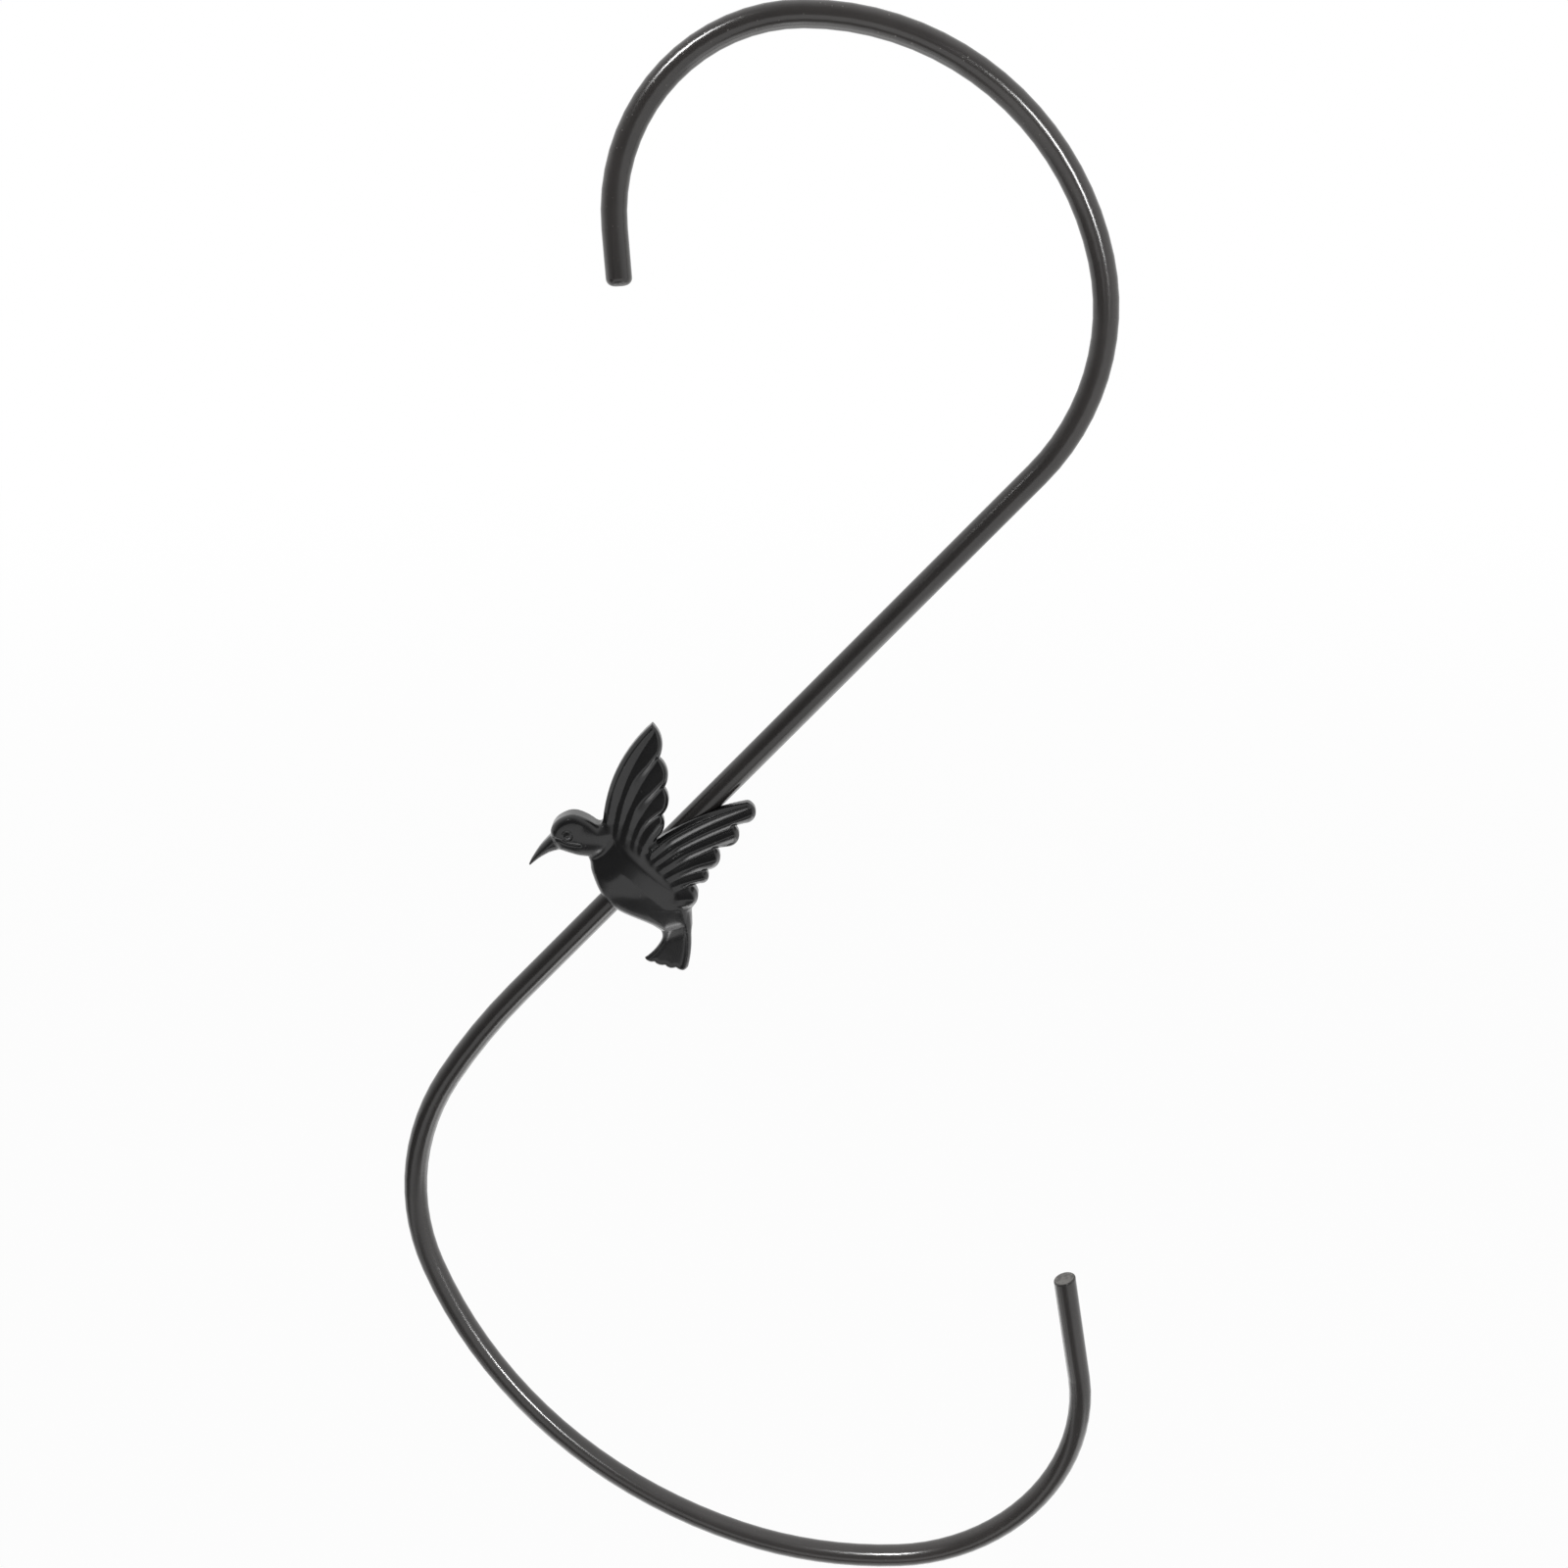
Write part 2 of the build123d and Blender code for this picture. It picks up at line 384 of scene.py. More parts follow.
def groove(distance, half_width, depth):
    """Depth of a soft groove along a line, or height of a soft rim."""
    return depth * np.exp(-((distance / half_width) ** 2))


# Feathers: how far a border runs on past its ends, the distances from a feather's free end between which its
# crest moves, and the roundness of its two sides
BORDER_REACH = 9.0
CREST_MOVE = (1.5, 7.0)
SWELL_BLEND = 0.35
RIB_RISE = 1.3
RIB_FALL = 1.6


def swell(share, crest):
    """Height of a feather across its width: 0 at both borders, near 1 at its crest."""
    return np.maximum(fuse(share / crest, (1 - share) / (1 - crest), SWELL_BLEND), 0)


def rib(share, crest):
    """Height of a round feather across its width: 0 at both borders and 1 at its crest."""
    rise = 1 - np.clip(1 - share / crest, 0, 1) ** RIB_RISE
    fall = 1 - np.clip((share - crest) / (1 - crest), 0, 1) ** RIB_FALL
    return np.minimum(rise, fall)


def feather_relief(across, up, borders, profile, ridge, root_crest, end_crest, first_crest=None):
    """Feathers side by side: each rises from the border before it and falls to the border after it.

    The crest lies at one share of a feather's width at the root, and at another at its free end; the first
    feather may have its own.
    """
    sides = [line_distance(across, up, lengthened(border, BORDER_REACH)) for border in borders]
    relief = np.zeros(sides[0].shape)
    for before, after, border in zip(sides, sides[1:], borders[1:]):
        from_end = np.hypot(across - border[-1][0], up - border[-1][1])
        crest = end_crest + (root_crest - end_crest) * smooth_step(from_end, *CREST_MOVE)
        if first_crest and before is sides[0]:
            crest = first_crest
        width = np.maximum(before - after, 1e-6)
        within = (before >= 0) & (after < 0)
        relief = np.where(within, ridge * width * profile(before / width, crest), relief)
    return relief


# Drawing of the hummingbird, from the middle of the rod under it

LEFT_WING_EDGE = arc((-10.2, 5.4), (-7.6, 15.9), (-0.9, 24.8))
LEFT_WING = closed(
    LEFT_WING_EDGE,
    arc((-0.9, 24.8), (0.75, 21.6), (0.2, 18.35)),
    arc((0.2, 18.35), (1.7, 15.5), (1.0, 12.8)),
    arc((1.0, 12.8), (1.75, 10.2), (0.45, 7.6)),
    arc((0.45, 7.6), (0.85, 5.4), (-0.4, 3.4)),
    (-5.0, -2.0),
)
LEFT_BORDERS = [
    LEFT_WING_EDGE,
    arc((-8.3, 4.5), (-6.4, 12.6), (-1.2, 22.5)),
    arc((-6.9, 4.0), (-3.7, 12.6), (0.2, 18.6)),
    arc((-5.2, 2.6), (-3.0, 8.1), (1.2, 13.3)),
    arc((-3.9, 1.8), (-1.9, 6.0), (0.8, 8.0)),
    arc((-2.6, 0.4), (-0.9, 4.0), (0.8, 6.4)),
    arc((-1.8, -0.8), (-0.3, 1.5), (1.2, 3.0)),
]

RIGHT_WING_EDGE = arc((-2.0, 1.6), (8.6, 8.0), (15.9, 10.1))
RIGHT_WING = closed(
    RIGHT_WING_EDGE,
    arc((15.9, 10.1), (17.4, 8.2), (15.4, 6.1)),
    arc((13.5, 5.6), (14.3, 3.2), (12.4, 1.6)),
    arc((10.1, 1.3), (10.8, -1.2), (9.1, -2.8)),
    arc((8.2, -3.1), (8.7, -4.6), (7.2, -5.4)),
    arc((5.7, -5.8), (6.8, -8.0), (4.2, -9.95)),
    (-3.0, -8.0),
)
RIGHT_BORDERS = [
    RIGHT_WING_EDGE,
    arc((-1.6, -0.6), (4.9, 3.6), (13.0, 7.6)),
    arc((-1.7, -2.5), (6.2, 2.2), (13.9, 5.6)),
    arc((-0.5, -3.9), (5.2, -0.9), (10.3, 1.35)),
    arc((1.1, -5.2), (4.7, -3.8), (8.5, -3.0)),
    arc((2.1, -6.8), (4.1, -6.1), (6.0, -5.7)),
    arc((2.6, -9.8), (4.2, -10.2), (6.0, -10.5)),
]

TAIL_EDGE = arc((4.2, -9.4), (5.4, -16.4), (4.7, -22.4))
TAIL = closed(
    TAIL_EDGE,
    arc((4.7, -22.4), (3.6, -23.2), (2.4, -22.75), steps=6),
    arc((2.4, -22.75), (1.4, -22.95), (0.4, -22.35), steps=6),
    arc((0.4, -22.35), (-0.6, -22.4), (-1.6, -21.75), steps=6),
    arc((-1.6, -21.75), (-2.7, -21.7), (-3.4, -20.9), steps=6),
    arc((-3.4, -20.9), (-0.8, -18.3), (0.7, -14.7)),
    (-4.0, -9.0),
)
TAIL_BORDERS = [
    arc((0.4, -13.0), (-1.2, -17.6), (-3.9, -21.0)),
    arc((1.2, -13.0), (0.5, -17.6), (-1.6, -21.75)),
    arc((2.0, -13.0), (1.9, -17.6), (0.4, -22.35)),
    arc((2.9, -13.0), (3.1, -17.6), (2.4, -22.75)),
    arc((4.6, -13.0), (5.2, -17.6), (4.9, -22.6)),
]

BODY = closed(
    curve((-10.6, 5.8), (-13.0, 7.5), (-15.6, 8.3), (-18.2, 7.2), (-19.5, 5.2), (-19.0, 3.0)),
    curve((-17.9, 1.4), (-16.2, 0.8), (-14.4, 0.2), (-13.0, 0.0)),
    curve((-12.7, -1.1), (-12.4, -3.2), (-10.7, -7.3), (-7.8, -10.35), (-1.3, -13.65), (0.7, -14.7)),
    (4.4, -13.5),
    arc((5.0, -10.2), (1.8, -1.6), (-6.5, 5.4)),
)
BEAK = closed(
    curve((-18.2, 5.4), (-19.55, 4.0), (-21.7, 1.6), (-23.3, -0.8), (-23.95, -2.1)),
    curve((-23.75, -2.3), (-21.85, -0.75), (-19.7, 0.5), (-17.4, 1.3)),
    (-16.0, 3.0),
)
BEAK_TIP = (-23.9, -2.2)
GAPE = curve((-20.4, 2.9), (-18.5, 3.9), (-16.2, 3.1), (-14.2, 2.8))
EYE = (-16.4, 4.55)

# Body: levels are millimetres above the casting's back, slopes are a rise for each millimetre aside, and the
# bird's back sinks to the wings between two distances from the body's middle line
BODY_MIDDLE = (-4.6, -4.3)
BODY_TOP = 5.3
BODY_FALL = 60.0
BODY_RIM = 4.5
BODY_EDGE = 0.62
BODY_SLOPE = 0.15
BODY_LOWEST = 1.8
BACK_REACH = (2.9, 5.6)
BACK_LEVEL = 2.6
BELLY_FOLD = np.array([(-7.9, -6.9), (2.3, -8.3)])
BELLY_SLOPE = 0.18
BELLY_TWIST = 0.012
CHEST_FOLD = np.array([(-10.6, -5.6), (-4.6, -0.2)])
CHEST_LEVEL = 5.2
CHEST_SLOPE = 0.36
FOLD_REACH = 20.0
FOLD_BLEND = 0.25

# Head and neck: the middle, radius and height of two caps, and how softly they run into each other and into
# the body
HEAD_CAP = ((-15.2, 5.4), 14.0, 4.5)
NECK_CAP = ((-11.6, 3.5), 4.8, 4.0)
HEAD_BLEND = 2.0
NECK_BLEND = 0.6

# Lines in the head: half width and depth
EYE_RADIUS = 0.75
EYE_GROOVE = (0.22, 0.2)
EYE_BULGE = (0.45, 0.08)
GAPE_GROOVE = (0.25, 0.2)

# Beak: its level and the radius of its edge at the tip, how fast both grow from there, and the largest radius
BEAK_LEVEL = 1.2
BEAK_RISE = 0.25
BEAK_EDGE = 0.4
BEAK_EDGE_RISE = 0.2
BEAK_EDGE_MOST = 1.3

# Wings: they rise towards the body, and the feathers fade at the free edge and where the body stands higher
ROOT_RISE = 0.9
ROOT_RISE_START = 10.0
ROOT_RISE_WIDTH = 6.5
EDGE_FADE = 0.8
BODY_SHORE = 3.9
BODY_FADE = 0.9

# Tail: its root stands higher than the wings, and it thins towards its end and its inner side
TAIL_ROOT_UP = -10.0
TAIL_ROOT_RISE = 0.9
TAIL_END_SLOPE = 0.13
TAIL_SIDE_SLOPE = 0.12
TAIL_RIDGE = 0.12
TAIL_FEATHERS = (17.5, 21.5)
TAIL_EDGE_REACH = 4.0
TAIL_FILLET = 3.0
OUTER_RIM_PLACE = 0.7
OUTER_RIM = (0.5, 0.25)
EDGE_RIM_PLACE = 0.5
EDGE_RIM = (0.35, 0.1)

BLOCK_LOW = (BEAK_TIP_ACROSS - 1.0, -24.5, -1.0)
BLOCK_HIGH = (18.6, WING_TIP_UP + 1.0, 7.0)
BACK_ROUND = 0.2
SETTLE_ROUNDS = 2
LEAST_SLOPE = 0.05


def wing_field(across, up, out, outline, relief, sizes):
    """A wing: a plate with rounded edges, and feathers on its front that fade where the body begins."""
    edge = outline_distance(across, up, outline)
    _, wide = body_axes(across, up)
    level = sizes.plate + ROOT_RISE * smooth_step(ROOT_RISE_START - wide, 0.0, ROOT_RISE_WIDTH)
    relief = relief * smooth_step(-edge, 0.0, EDGE_FADE)
    relief = relief * smooth_step(BODY_SHORE - trunk_height(across, up), 0.0, BODY_FADE)
    return round_cut(out - level - relief, edge, sizes.edge_round)


def tail_field(across, up, out, sizes):
    """The tail: a plate that thins towards its end and its inner side, with a rim along its edge."""
    edge = outline_distance(across, up, TAIL)
    outer = line_distance(across, up, lengthened(TAIL_EDGE, TAIL_EDGE_REACH))
    level = sizes.plate + TAIL_ROOT_RISE + TAIL_END_SLOPE * (up - TAIL_ROOT_UP) - TAIL_SIDE_SLOPE * outer
    feathers = feather_relief(across, up, TAIL_BORDERS, rib, TAIL_RIDGE, root_crest=0.5, end_crest=0.5)
    feathers = feathers * smooth_step(-up, *TAIL_FEATHERS)
    rim = groove(outer - OUTER_RIM_PLACE, *OUTER_RIM) + groove(edge + EDGE_RIM_PLACE, *EDGE_RIM)
    return round_cut(out - level - rim - feathers * smooth_step(-edge, 0, EDGE_FADE), edge, sizes.edge_round)


def body_axes(across, up):
    """Place in the body: along it, towards the tail, and across it, towards the wings."""
    turn = SHANK_ANGLE + math.pi / 2
    right, above = across - BODY_MIDDLE[0], up - BODY_MIDDLE[1]
    return (right * math.cos(turn) + above * math.sin(turn),
            above * math.cos(turn) - right * math.sin(turn))


def body_height(across, up):
    """Height of the body: a pillow with a chest and a belly cut flat on it, and a slope to the wings."""
    long, wide = body_axes(across, up)
    rim = np.clip(-outline_distance(across, up, BODY) / BODY_RIM, 0, 1)
    top = BODY_TOP - long**2 / BODY_FALL - BODY_SLOPE * np.maximum(wide, 0)
    pillow = top * (BODY_EDGE + (1 - BODY_EDGE) * np.sqrt(1 - (1 - rim) ** 2))
    before_fold = -line_distance(across, up, lengthened(CHEST_FOLD, FOLD_REACH))
    chest = CHEST_LEVEL - CHEST_SLOPE * before_fold
    under_fold = line_distance(across, up, lengthened(BELLY_FOLD, FOLD_REACH))
    belly = top - under_fold * (BELLY_SLOPE - BELLY_TWIST * long)
    height = fuse(fuse(pillow, belly, FOLD_BLEND), chest, FOLD_BLEND)
    return height - (height - BACK_LEVEL) * smooth_step(wide, *BACK_REACH)


def trunk_height(across, up):
    """Height of the body, the head and the neck, blended into each other."""
    head = cap(across, up, *HEAD_CAP)
    neck = cap(across, up, *NECK_CAP)
    return -fuse(-body_height(across, up), fuse(-head, -neck, HEAD_BLEND), NECK_BLEND)


def body_field(across, up, out, sizes):
    """Head and body, with the eye and the line of the beak's gape in the head."""
    edge = outline_distance(across, up, BODY)
    height = np.maximum(trunk_height(across, up), BODY_LOWEST)
    from_eye = np.hypot(across - EYE[0], up - EYE[1])
    height = height - groove(from_eye - EYE_RADIUS, *EYE_GROOVE) + groove(from_eye, *EYE_BULGE)
    height = height - groove(line_distance(across, up, GAPE), *GAPE_GROOVE)
    return round_cut(out - height, edge, sizes.body_round)


def beak_field(across, up, out):
    """The beak: half round, and thinner towards its tip."""
    edge = outline_distance(across, up, BEAK)
    from_tip = np.hypot(across - BEAK_TIP[0], up - BEAK_TIP[1])
    edge_round = np.minimum(BEAK_EDGE + BEAK_EDGE_RISE * from_tip, BEAK_EDGE_MOST)
    return round_cut(out - BEAK_LEVEL - BEAK_RISE * from_tip, edge, edge_round)


def casting_field(across, up, out, sizes):
    """The whole hummingbird: out is the height above its flat back."""
    left_feathers = feather_relief(
        across, up, LEFT_BORDERS, swell, sizes.left_ridge, root_crest=0.45, end_crest=0.75, first_crest=0.4)
    right_feathers = feather_relief(
        across, up, RIGHT_BORDERS, rib, sizes.right_ridge, root_crest=0.36, end_crest=0.42)
    left_wing = wing_field(across, up, out, LEFT_WING, left_feathers, sizes)
    right_wing = wing_field(across, up, out, RIGHT_WING, right_feathers, sizes)
    metal = fuse(left_wing, right_wing, sizes.fillet)
    trunk = fuse(body_field(across, up, out, sizes), beak_field(across, up, out), sizes.fillet)
    trunk = fuse(trunk, tail_field(across, up, out, sizes), TAIL_FILLET)
    metal = fuse(metal, trunk, sizes.root_fillet)
    metal = round_cut(metal, -out, BACK_ROUND)
    beside_rod = up * math.cos(SHANK_ANGLE) - across * math.sin(SHANK_ANGLE)
    channel = np.hypot(beside_rod, out - CASTING_BACK) - ROD_RADIUS
    return np.maximum(metal, -channel)


def surface_net(field, corner, pitch):
    """Points and four-sided faces of the surface where a field on a grid passes through zero."""
    cells = np.array(field.shape) - 1
    strides = np.array([cells[1] * cells[2], cells[2], 1])
    sums = np.zeros((cells.prod(), 3))
    hits = np.zeros(cells.prod())
    faces = []
    for axis in range(3):
        low = field.take(np.arange(cells[axis]), axis)
        high = field.take(np.arange(1, cells[axis] + 1), axis)
        spots = np.argwhere((low < 0) != (high < 0))
        before, after = low[tuple(spots.T)], high[tuple(spots.T)]
        points = spots.astype(float)
        points[:, axis] += before / (before - after)
        second, third = strides[(axis + 1) % 3], strides[(axis + 2) % 3]
        here = spots @ strides
        ring = np.stack([here, here - second, here - second - third, here - third], axis=1)
        for corner_cells in ring.T:
            np.add.at(sums, corner_cells, points)
            np.add.at(hits, corner_cells, 1)
        faces.append(np.where((before < 0)[:, None], ring, ring[:, ::-1]))
    used, faces = np.unique(np.concatenate(faces), return_inverse=True)
    points = sums[used] / hits[used][:, None] * pitch + corner
    return points, faces.reshape(-1, 4)


def settle(points, field_of, pitch):
    """Moves points on to the surface where a field is zero, along its slope."""
    nudge = pitch / 8
    for _ in range(SETTLE_ROUNDS):
        rises = [field_of(points + step) - field_of(points - step) for step in np.eye(3) * nudge]
        slope = np.stack(rises, axis=1) / (2 * nudge)
        move = field_of(points)[:, None] * slope / np.maximum((slope**2).sum(1), LEAST_SLOPE)[:, None]
        points = points - np.clip(move, -pitch / 2, pitch / 2)
    return points


def make_hummingbird(sizes):
    """The casting's mesh, in metres in the model's frame."""
    pitch = sizes.mesh_pitch * 1
    across, up, out = (np.arange(low, high, pitch) for low, high in zip(BLOCK_LOW, BLOCK_HIGH))
    field = casting_field(across[:, None, None], up[None, :, None], out[None, None, :], sizes)
    points, faces = surface_net(field, BLOCK_LOW, pitch)
    points = settle(points, lambda spots: casting_field(*spots.T, sizes), pitch)
    places = np.stack([points[:, 0] + DRAWING_ORIGIN[0], CASTING_BACK - points[:, 2],
                       points[:, 1] + DRAWING_ORIGIN[1]], axis=1)
    mesh = bpy.data.meshes.new("hummingbird_casting")
    mesh.from_pydata((places / MM).tolist(), [], faces.tolist())
    mesh.shade_smooth()
    casting = bpy.data.objects.new("hummingbird_casting", mesh)
    bpy.context.scene.collection.objects.link(casting)
    return casting


# Places on the rod in millimetres: where dust gets thick, and where the lower end is cut
DUST_RISE = (-25.0, -5.0)
CUT_FACING = (0.97, 0.995)
CUT_ACROSS = (47.0, 49.0)
CUT_DOWN = (225.0, 227.0)

# Ripples along a weld bead, in radians per millimetre
RIPPLE_TURN = 14.0


def rod_finish(look):
    """Semi-gloss black coat on the rod, with dust, most of it on the upper hook, and a rough cut end."""
    finish = new_material("rod coat")
    place = finish.place_mm()
    height = finish.axis(place, "Z")
    cloud = finish.noise(place, per_mm=0.12, detail=3.0)
    spots = finish.noise(place, per_mm=0.9)
    fine = finish.noise(place, per_mm=2.5, detail=3.0)
    nibs = finish.nibs(place, per_mm=1.1, share=0.35, radius=0.2) * (0.25 + 0.75 * height.between(*DUST_RISE))

    facing = finish.node("ShaderNodeNewGeometry", output="Normal")
    cut = finish.dot(facing, (math.cos(CUT_ANGLE), 0.0, math.sin(CUT_ANGLE))).between(*CUT_FACING)
    cut = cut * finish.axis(place, "X").between(*CUT_ACROSS) * (height * -1).between(*CUT_DOWN)

    black, light_black = opaque(look.rod_colour), opaque(look.rod_colour, lighter=1.5)
    colour = finish.mix_colour(cloud.between(0.3, 0.7) * 0.5, black, light_black)
    dust = nibs * 0.6 + cut * (0.3 + 0.7 * spots.between(0.35, 0.6))
    colour = finish.mix_colour(dust, colour, opaque(look.dust_and_sheen_colour))
    roughness = look.rod_roughness + 0.06 * fine + 0.25 * nibs + 0.2 * cut
    relief = 0.001 * spots + 0.01 * nibs + 0.08 * cut * fine
    return finish.coat(colour, roughness, finish.bump(relief), coat_weight=0.25, coat_roughness=0.12)


def casting_finish(look):
    """Gloss black coat on the casting, with a painted highlight along its sharp edges."""
    finish = new_material("casting coat")
    place = finish.place_mm()
    cloud = finish.noise(place, per_mm=0.25, detail=3.0)
    # Convex edges, which get a painted highlight
    edges = finish.node("ShaderNodeNewGeometry", output="Pointiness").between(0.53, 0.6)
    nibs = finish.nibs(place, per_mm=0.7, share=0.3, radius=0.12)
    black, light_black = opaque(look.casting_colour), opaque(look.casting_colour, lighter=1.7)
    colour = finish.mix_colour(cloud.between(0.35, 0.7) * 0.5, black, light_black)
    # Painted highlight: the sharp edges are lightened towards the dust colour; the nibs are dust
    colour = finish.mix_colour(edges * 0.15 + nibs * 0.2, colour, opaque(look.dust_and_sheen_colour))
    roughness = look.casting_roughness + 0.08 * cloud + 0.1 * edges
    relief = 0.004 * finish.noise(place, per_mm=0.6, detail=3.0) + 0.015 * nibs
    return finish.coat(colour, roughness, finish.bump(relief), coat_weight=0.2, coat_roughness=0.08)


def weld_finish(look):
    """The rod's coat over rippled weld beads."""
    finish = new_material("weld coat")
    place = finish.place_mm()
    along_rod = finish.dot(place, (math.cos(SHANK_ANGLE), 0.0, math.sin(SHANK_ANGLE)))
    ripple = (along_rod * RIPPLE_TURN).sine()
    spots = finish.noise(place, per_mm=1.4, detail=4.0)
    colour = finish.mix_colour(spots, opaque(look.rod_colour), opaque(look.rod_colour, lighter=2.2))
    roughness = look.rod_roughness + 0.25 * spots
    relief = 0.02 * ripple + 0.06 * spots
    return finish.coat(colour, roughness, finish.bump(relief), coat_weight=0.3, coat_roughness=0.2)


# Floor in metres: the painted shade that reflections see in front, where the far left and the front begin,
# and the distances between which the paper turns white
SHADE_MIDDLE = (-0.08, -0.4)
SHADE_HALF = (0.4, 0.34)
SHADE_EDGE = (0.6, 1.2)
SHADE_COLOUR = (0.1, 0.1, 0.1, 1.0)
WHITE = (1.0, 1.0, 1.0, 1.0)
FAR_LEFT = (0.4, 0.8)
IN_FRONT = (-0.15, 0.05)
FLOOR_FAR = (1.0, 3.5)


def floor_finish(colour):
    """Pale paper that shows white and keeps shadows; in reflections it glows, with a painted shade in front
    and far left.
    """
    finish = new_material("floor paper")
    place = finish.node("ShaderNodeTexCoord", output="Object")
    fibre = finish.noise(place, 40.0, detail=4.0)
    tint = finish.mix_colour(fibre * 0.1, opaque(colour), opaque(colour, lighter=0.97))
    paper = finish.node("ShaderNodeBsdfDiffuse", None, {"Color": tint})
    camera_ray = finish.node("ShaderNodeLightPath", output="Is Camera Ray")
    mirror_ray = finish.node("ShaderNodeLightPath", output="Is Glossy Ray")
    mirror_ray = mirror_ray + finish.node("ShaderNodeLightPath", output="Is Transmission Ray")
    right = finish.axis(place, "X")
    back = finish.axis(place, "Y")
    beside = (right - SHADE_MIDDLE[0]) / SHADE_HALF[0]
    before = (back - SHADE_MIDDLE[1]) / SHADE_HALF[1]
    # Painted shade for reflections: the paper glows dark grey in front and at the far left, and white
    # elsewhere
    lit = (beside * beside + before * before).between(*SHADE_EDGE)
    far_left = (back * 0.25 - right).between(*FAR_LEFT)
    lit = lit * (1 - far_left * (back * -1).between(*IN_FRONT))
    shown = finish.mix_colour(camera_ray + (1 - camera_ray) * lit, SHADE_COLOUR, WHITE)
    glow = finish.node("ShaderNodeEmission", None, {"Color": shown, "Strength": 1.0})
    distance = finish.node("ShaderNodeVectorMath", {"operation": "LENGTH"}, {0: place}, "Value")
    far = distance.between(*FLOOR_FAR)
    share = (camera_ray + mirror_ray) * (0.93 + 0.07 * far)
    mixed = finish.node("ShaderNodeMixShader", None, {0: share, 1: paper, 2: glow})
    finish.node("ShaderNodeOutputMaterial", None, {"Surface": mixed})
    return finish.owner


# Operators

class HOOK_OT_coat_rod(bpy.types.Operator):
    """Give the bent rod its black coat"""

    bl_idname = "hook.coat_rod"
    bl_label = "Coat the rod"

    def execute(self, context):
        coat_piece(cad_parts["hook_rod"], rod_finish(context.scene.hook_finish))
        return {"FINISHED"}


class HOOK_OT_cast_hummingbird(bpy.types.Operator):
    """Cast the hummingbird on the front of the shank"""

    bl_idname = "hook.cast_hummingbird"
    bl_label = "Cast the hummingbird"

    def execute(self, context):
        casting = make_hummingbird(context.scene.hook_sizes)
        coat_piece(casting, casting_finish(context.scene.hook_finish))
        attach(casting, "root")
        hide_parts("hummingbird")
        return {"FINISHED"}


class HOOK_OT_coat_welds(bpy.types.Operator):
    """Give the weld beads behind the hummingbird their coat"""

    bl_idname = "hook.coat_welds"
    bl_label = "Coat the weld beads"

    def execute(self, context):
        coat_piece(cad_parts["weld_beads"], weld_finish(context.scene.hook_finish))
        return {"FINISHED"}


# Studio: the direction of its bright side, the light of its dark side, and how far towards the bright side
# the soft light and the reflections turn white
BRIGHT_SIDE = (0.33, 1.0, -0.24)
DARK_SIDE_LIGHT = 0.14
SOFT_LIGHT_RISE = (-1.05, -0.1)
MIRROR_RISE = (-0.3, 0.3)
SENSOR_WIDTH = 36.0
CLIP_START = 0.01


def hang_lamp(name, place, target, size, power, spread, long_side=(0.0, 0.0, 1.0)):
    """A soft rectangular lamp that faces one place, with its beam narrowed to this many degrees."""
    light = bpy.data.lights.new(name, "AREA")
    light.shape = "RECTANGLE"
    light.size, light.size_y = size
    light.energy = power
    light.spread = math.radians(spread)
    lamp = bpy.data.objects.new(name, light)
    lamp.location = place
    lamp.visible_camera = False
    back = (Vector(place) - Vector(target)).normalized()
    side = Vector(long_side).cross(back).normalized()
    lamp.rotation_euler = Matrix((side, back.cross(side), back)).transposed().to_euler()
    bpy.context.scene.collection.objects.link(lamp)


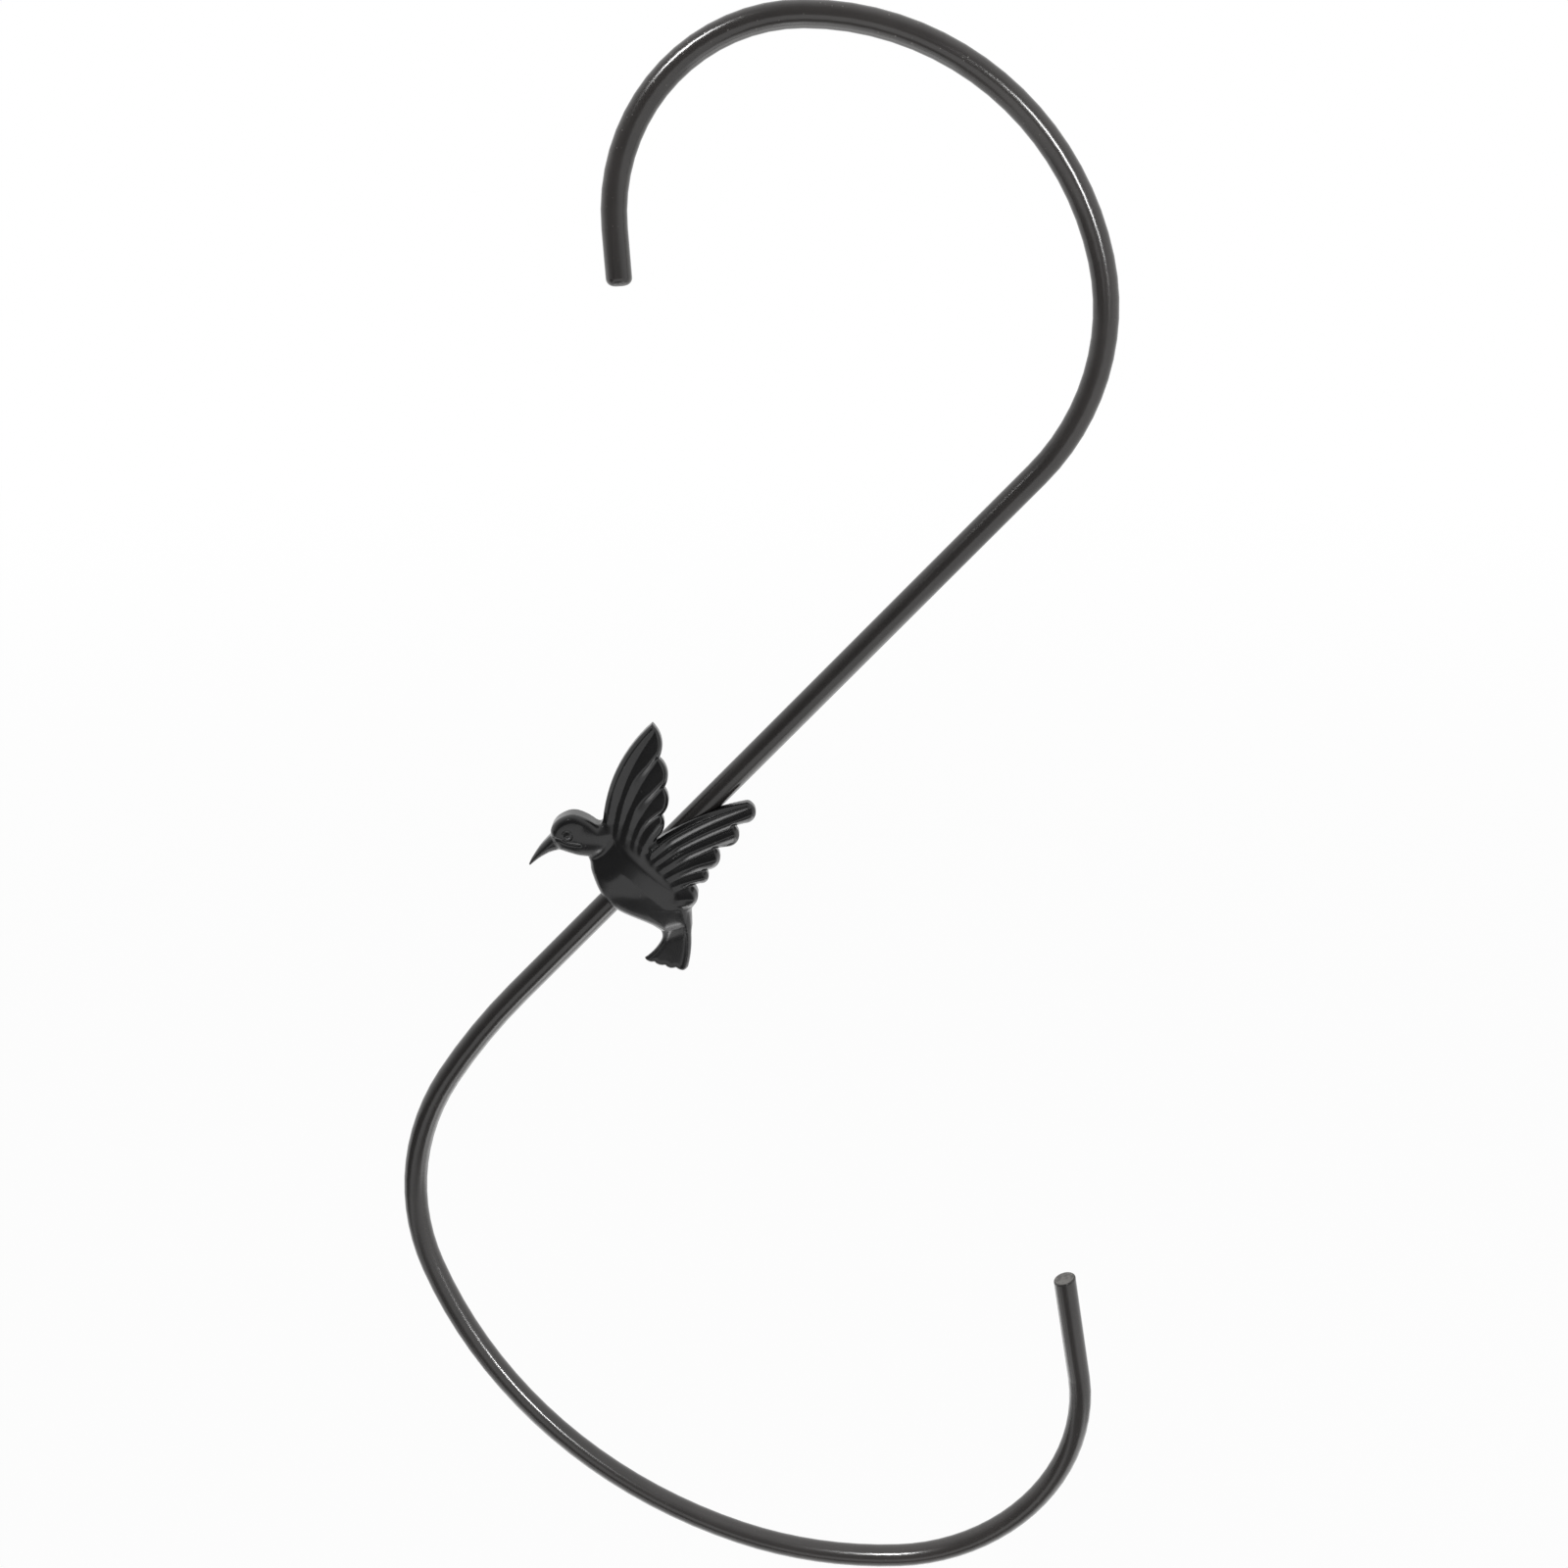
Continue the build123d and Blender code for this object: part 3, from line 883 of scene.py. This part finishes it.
class HOOK_OT_set_stage(bpy.types.Operator):
    """Lay the floor, hang the lamps and place the camera"""

    bl_idname = "hook.set_stage"
    bl_label = "Set the stage"

    def execute(self, context):
        scene = context.scene
        stage = scene.hook_stage
        half = stage.floor_size / 2
        level = CAD_BOX[0].z - stage.floor_drop
        corners = [(-half, -half, level), (half, -half, level), (half, half, level), (-half, half, level)]
        mesh = bpy.data.meshes.new("floor")
        mesh.from_pydata(corners, [], [(0, 1, 2, 3)])
        floor = bpy.data.objects.new("floor", mesh)
        scene.collection.objects.link(floor)
        coat_piece(floor, floor_finish(stage.floor_colour))

        hang_lamp("upper left lamp", place=(-0.145, -0.143, 0.158), target=(-0.02, 0.0, -0.005),
                  size=(0.045, 0.13), power=0.018, spread=24, long_side=(0.7, 0.0, 0.7))
        hang_lamp("right lamp", place=(0.135, -0.222, 0.018), target=(0.05, 0.0, -0.02),
                  size=(0.035, 0.09), power=0.0135, spread=30)
        hang_lamp("lower right lamp", place=(0.134, -0.159, -0.236), target=(-0.06, 0.0, -0.245),
                  size=(0.022, 0.022), power=0.0048, spread=30)
        hang_lamp("top lamp", place=(0.018, -0.248, 0.022), target=(0.018, 0.0, -0.29),
                  size=(0.03, 0.025), power=0.015, spread=20)
        hang_lamp("wing lamp", place=(0.01, -0.054, -0.277), target=(-0.0176, 0.0, -0.1399),
                  size=(0.05, 0.05), power=0.0028, spread=60)
        hang_lamp("low lamp", place=(0.08, 0.05, -0.6), target=(0.08, 0.05, 0.0),
                  size=(0.7, 0.7), power=1.6, spread=180, long_side=(0.0, 1.0, 0.0))

        world = scene.world or bpy.data.worlds.new("studio")
        scene.world = world
        air = Finish(world)
        ray = air.node("ShaderNodeTexCoord", output="Generated")
        bright = air.dot(ray, BRIGHT_SIDE)
        soft = DARK_SIDE_LIGHT + (1 - DARK_SIDE_LIGHT) * bright.between(*SOFT_LIGHT_RISE)
        seen = air.node("ShaderNodeLightPath", output="Is Camera Ray")
        seen = seen + air.node("ShaderNodeLightPath", output="Is Transmission Ray")
        seen = seen + air.node("ShaderNodeLightPath", output="Is Glossy Ray") * bright.between(*MIRROR_RISE)
        strength = soft * (1 - seen) + seen
        glow = air.node("ShaderNodeBackground", None, {"Color": WHITE, "Strength": strength})
        air.node("ShaderNodeOutputWorld", None, {"Surface": glow})

        camera_data = bpy.data.cameras.new("camera")
        camera_data.lens = stage.lens
        camera_data.sensor_width = SENSOR_WIDTH
        camera_data.clip_start = CLIP_START
        camera = bpy.data.objects.new("camera", camera_data)
        camera.location = stage.camera_place
        camera.rotation_euler = (math.pi / 2 - stage.camera_pitch, 0, 0)
        scene.collection.objects.link(camera)
        scene.camera = camera
        scene.view_settings.view_transform = "Standard"
        return {"FINISHED"}


class HOOK_PT_panel(bpy.types.Panel):
    """Steps and settings of the plant hook"""

    bl_idname = "HOOK_PT_panel"
    bl_label = "Plant hook"
    bl_space_type = "VIEW_3D"
    bl_region_type = "UI"
    bl_category = "Plant hook"

    def draw(self, context):
        for step in STEPS:
            self.layout.operator(step.bl_idname)
        for group in (context.scene.hook_sizes, context.scene.hook_finish, context.scene.hook_stage):
            box = self.layout.box()
            for name in group.__annotations__:
                box.prop(group, name)


STEPS = (HOOK_OT_set_stage, HOOK_OT_coat_rod, HOOK_OT_cast_hummingbird, HOOK_OT_coat_welds)
CLASSES = (PlantHookSizes, PlantHookFinish, PlantHookStage) + STEPS + (HOOK_PT_panel,)


def register():
    for kind in CLASSES:
        bpy.utils.register_class(kind)
    bpy.types.Scene.hook_sizes = PointerProperty(type=PlantHookSizes)
    bpy.types.Scene.hook_finish = PointerProperty(type=PlantHookFinish)
    bpy.types.Scene.hook_stage = PointerProperty(type=PlantHookStage)


def unregister():
    del bpy.types.Scene.hook_stage
    del bpy.types.Scene.hook_finish
    del bpy.types.Scene.hook_sizes
    for kind in reversed(CLASSES):
        bpy.utils.unregister_class(kind)


def main():
    """Makes the hook step by step."""
    register()
    bpy.ops.hook.set_stage()
    bpy.ops.hook.coat_rod()
    bpy.ops.hook.cast_hummingbird()
    bpy.ops.hook.coat_welds()


if __name__ == "__main__":
    main()
